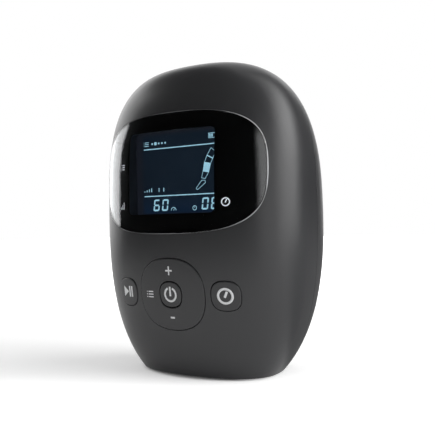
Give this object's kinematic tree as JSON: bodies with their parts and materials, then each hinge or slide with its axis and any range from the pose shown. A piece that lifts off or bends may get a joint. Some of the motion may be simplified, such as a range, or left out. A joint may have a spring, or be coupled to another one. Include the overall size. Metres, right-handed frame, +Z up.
{
  "type": "compression therapy pump",
  "caption": "Hand-sized air pump for an inflatable leg sleeve: pebble-shaped housing, dark window over a lit display, rocking ring key round a power key, side keys and hose socket.",
  "frame": {"origin": "on the table, under the middle of the housing", "axes": "+X to the user's right when the display faces the user, the display and keys face -Y, +Z up"},
  "size_m": [0.124, 0.0902, 0.17],
  "materials": {
    "housing_plastic": "soft-touch matt charcoal",
    "key_plastic": "soft-touch matt charcoal",
    "window_plastic": "polished, smoked",
    "silicone": "matt translucent grey",
    "dark_rubber": "matt black",
    "display_glass": "lit dark blue",
    "backlight_plastic": "white light guide",
    "white_plastic": "moulded white",
    "board_laminate": "green solder mask",
    "steel": "bright zinc plated",
    "dark_steel": "black zinc plated",
    "brass": "turned",
    "pump_plastic": "glass-filled grey",
    "nylon": "natural",
    "manifold_plastic": "moulded light grey",
    "black_plastic": "moulded black",
    "cell_wrap": "blue shrink sleeve",
    "plated_contact": "nickel plated"
  },
  "bodies": {
    "housing": {"front_shell": "housing_plastic", "rear_shell": "housing_plastic", "window_lens": "window_plastic", "keypad_sheet": "silicone", "display_panel": "display_glass", "display_backlight": "backlight_plastic", "display_gasket": "dark_rubber", "display_holder": "white_plastic", "main_board": "board_laminate", "board_screws": "steel", "buzzer": "black_plastic", "rubber_feet": "dark_rubber", "housing_screws": "dark_steel", "thread_inserts": "brass", "pump_motor": "steel", "crank_housing": "pump_plastic", "pump_diaphragm": "dark_rubber", "pump_head": "pump_plastic", "pump_screws": "steel", "pump_dampers": "dark_rubber", "pump_bracket": "steel", "bracket_screws": "steel", "valve_bodies": "steel", "manifold": "manifold_plastic", "supply_tube": "silicone", "outlet_tubes": "silicone", "hose_socket": "black_plastic", "pressure_sensor": "black_plastic", "power_board": "board_laminate", "power_screws": "steel", "charge_jack": "black_plastic", "charge_pin": "plated_contact", "battery_cells": "cell_wrap", "battery_tray": "white_plastic", "battery_board": "board_laminate"},
    "power_button": {"power_key": "key_plastic", "power_plunger": "silicone"},
    "play_button": {"play_key": "key_plastic", "play_plunger": "silicone"},
    "timer_button": {"timer_key": "key_plastic", "timer_plunger": "silicone"},
    "dpad_carrier": {"dpad_rubber": "silicone"},
    "dpad": {"dpad_key": "key_plastic"},
    "rotor": {"pump_rotor": "steel"},
    "wobble": {"wobble_plate": "nylon"},
    "valve_1": {"valve_plunger_1": "steel"},
    "valve_2": {"valve_plunger_2": "steel"},
    "valve_3": {"valve_plunger_3": "steel"},
    "valve_4": {"valve_plunger_4": "steel"}
  },
  "joints": [
    {"name": "power_press", "type": "slide", "parent": "housing", "child": "power_button", "axis": [0, 1, 0], "range_m": [0, 0.0006], "stiffness_N_per_m": 800, "springref_m": -0.0012},
    {"name": "play_press", "type": "slide", "parent": "housing", "child": "play_button", "axis": [0, 1, 0], "range_m": [0, 0.0006], "stiffness_N_per_m": 800, "springref_m": -0.0012},
    {"name": "timer_press", "type": "slide", "parent": "housing", "child": "timer_button", "axis": [0, 1, 0], "range_m": [0, 0.0006], "stiffness_N_per_m": 800, "springref_m": -0.0012},
    {"name": "dpad_tilt_x", "type": "hinge", "parent": "housing", "child": "dpad_carrier", "pos_m": [0, -0.0375, 0.0452], "axis": [1, 0, 0], "range_deg": [-1.25, 1.25], "stiffness_Nm_per_rad": 1.27},
    {"name": "dpad_tilt_z", "type": "hinge", "parent": "dpad_carrier", "child": "dpad", "pos_m": [0, -0.0375, 0.0452], "axis": [0, 0, 1], "range_deg": [-1.25, 1.25], "stiffness_Nm_per_rad": 1.27},
    {"name": "pump_spin", "type": "hinge", "parent": "housing", "child": "rotor", "pos_m": [-0.036, 0.0115, 0.0575], "axis": [0, 0, 1], "continuous": true},
    {"name": "plate_wobble", "type": "hinge", "parent": "rotor", "child": "wobble", "pos_m": [-0.036, 0.0115, 0.087], "axis": [0.1392, 0, 0.9903], "continuous": true},
    {"name": "valve_1_open", "type": "slide", "parent": "housing", "child": "valve_1", "axis": [0, 0, -1], "range_m": [0, 0.0008], "stiffness_N_per_m": 400, "springref_m": -0.003},
    {"name": "valve_2_open", "type": "slide", "parent": "housing", "child": "valve_2", "axis": [0, 0, -1], "range_m": [0, 0.0008], "stiffness_N_per_m": 400, "springref_m": -0.003},
    {"name": "valve_3_open", "type": "slide", "parent": "housing", "child": "valve_3", "axis": [0, 0, -1], "range_m": [0, 0.0008], "stiffness_N_per_m": 400, "springref_m": -0.003},
    {"name": "valve_4_open", "type": "slide", "parent": "housing", "child": "valve_4", "axis": [0, 0, -1], "range_m": [0, 0.0008], "stiffness_N_per_m": 400, "springref_m": -0.003}
  ],
  "couplings": [
    {"joint": "plate_wobble", "follows": "pump_spin", "ratio": -1}
  ]
}
